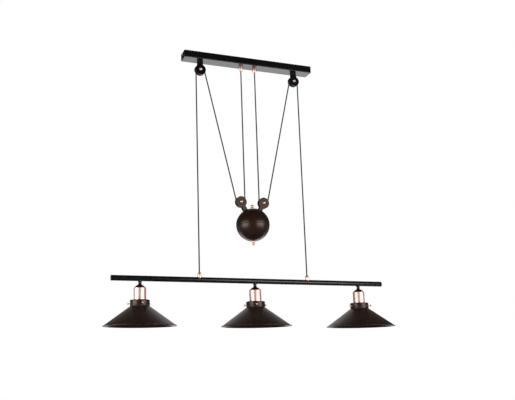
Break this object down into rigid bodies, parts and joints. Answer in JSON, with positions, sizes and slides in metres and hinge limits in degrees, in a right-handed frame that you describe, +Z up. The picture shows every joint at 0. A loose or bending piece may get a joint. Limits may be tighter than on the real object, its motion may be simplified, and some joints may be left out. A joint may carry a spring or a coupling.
{
  "type": "rise and fall pendant",
  "caption": "Ceiling pendant whose straight lamp bar with coolie shades rises and falls against a ball counterweight on doubled flexes and pulleys.",
  "frame": {"origin": "middle of the ceiling strap on the ceiling plane", "axes": "+Z up to the ceiling, +X along the lamp bar to the right, -Y to the front"},
  "size_m": [1.14, 0.26, 1.0544],
  "materials": {
    "satin_black_paint": "satin",
    "bronze_black_paint": "satin",
    "copper_plate": "polished",
    "zinc_steel": "satin",
    "plain_brass": "satin",
    "cast_core": "matte",
    "white_ceramic": "satin",
    "white_plastic": "matte",
    "black_plastic": "satin",
    "flex_fabric": "matte",
    "wire_insulation": "matte"
  },
  "bodies": {
    "canopy": {"canopy_cover": "satin_black_paint", "ceiling_bracket": "zinc_steel", "cover_screws": "zinc_steel", "terminal_block": "white_plastic", "terminal_screws": "plain_brass", "block_screw": "plain_brass", "earth_screw": "plain_brass", "canopy_wiring": "wire_insulation", "canopy_grip_left": "copper_plate", "canopy_grip_right": "copper_plate", "canopy_grip_nuts": "zinc_steel", "canopy_grip_screws": "zinc_steel", "upper_yoke_left": "satin_black_paint", "upper_yoke_right": "satin_black_paint", "upper_yoke_bolts": "zinc_steel", "upper_yoke_washers": "zinc_steel", "upper_yoke_nuts": "zinc_steel", "upper_axles": "zinc_steel", "upper_axle_caps": "copper_plate", "cord_loop_left": "flex_fabric", "cord_loop_right": "flex_fabric"},
    "upper_wheel_left": {"upper_wheel_left": "satin_black_paint"},
    "upper_wheel_right": {"upper_wheel_right": "satin_black_paint"},
    "counterweight": {"weight_shell_upper": "bronze_black_paint", "weight_shell_lower": "bronze_black_paint", "weight_core": "cast_core", "weight_rod": "zinc_steel", "top_finial": "copper_plate", "bottom_finial": "copper_plate", "lower_yoke_left": "satin_black_paint", "lower_yoke_right": "satin_black_paint", "lower_yoke_bolts": "zinc_steel", "lower_axles": "zinc_steel", "lower_axle_caps": "copper_plate"},
    "lower_wheel_left": {"lower_wheel_left": "satin_black_paint"},
    "lower_wheel_right": {"lower_wheel_right": "satin_black_paint"},
    "lamp_bar": {"bar_tube": "satin_black_paint", "bar_end_caps": "black_plastic", "bar_grip_left": "copper_plate", "bar_grip_right": "copper_plate", "bar_grip_screws": "zinc_steel", "bar_wiring": "wire_insulation", "cord_drop_left": "flex_fabric", "cord_drop_right": "flex_fabric", "lamp_nipples": "zinc_steel", "lamp_necks": "satin_black_paint", "nipple_nuts": "zinc_steel", "lamp_caps": "satin_black_paint", "lamp_sleeves": "copper_plate", "holder_inserts": "white_ceramic", "screw_shells": "plain_brass", "centre_contacts": "plain_brass", "galleries": "bronze_black_paint", "gallery_rings": "zinc_steel", "thumb_screws": "copper_plate", "shade_collars": "bronze_black_paint", "shade_left": "bronze_black_paint", "shade_middle": "bronze_black_paint", "shade_right": "bronze_black_paint"}
  },
  "joints": [
    {"name": "rise_fall", "type": "slide", "parent": "canopy", "child": "lamp_bar", "axis": [0, 0, 1], "range_m": [-0.6, 0.075], "deforming": ["cord_drop_left", "cord_drop_right"]},
    {"name": "counterweight_travel", "type": "slide", "parent": "canopy", "child": "counterweight", "axis": [0, 0, 1], "range_m": [-0.0396, 0.3097], "deforming": ["cord_loop_left", "cord_loop_right"]},
    {"name": "upper_wheel_left_spin", "type": "hinge", "parent": "canopy", "child": "upper_wheel_left", "pos_m": [-0.201, 0, -0.065], "axis": [0, 1, 0], "range_deg": [-2025.2, 255.8]},
    {"name": "lower_wheel_left_spin", "type": "hinge", "parent": "counterweight", "child": "lower_wheel_left", "pos_m": [-0.0465, 0, -0.58555], "axis": [0, 1, 0], "range_deg": [-133.1, 1043.4]},
    {"name": "upper_wheel_right_spin", "type": "hinge", "parent": "canopy", "child": "upper_wheel_right", "pos_m": [0.201, 0, -0.065], "axis": [0, 1, 0], "range_deg": [-255.8, 2025.2]},
    {"name": "lower_wheel_right_spin", "type": "hinge", "parent": "counterweight", "child": "lower_wheel_right", "pos_m": [0.0465, 0, -0.58555], "axis": [0, 1, 0], "range_deg": [-1043.4, 133.1]}
  ],
  "couplings": [
    {"joint": "counterweight_travel", "follows": "rise_fall", "ratio": -0.5145},
    {"joint": "upper_wheel_left_spin", "follows": "rise_fall", "rad_per_m": 58.824},
    {"joint": "lower_wheel_left_spin", "follows": "rise_fall", "rad_per_m": -30.265},
    {"joint": "upper_wheel_right_spin", "follows": "rise_fall", "rad_per_m": -58.824},
    {"joint": "lower_wheel_right_spin", "follows": "rise_fall", "rad_per_m": 30.265}
  ]
}
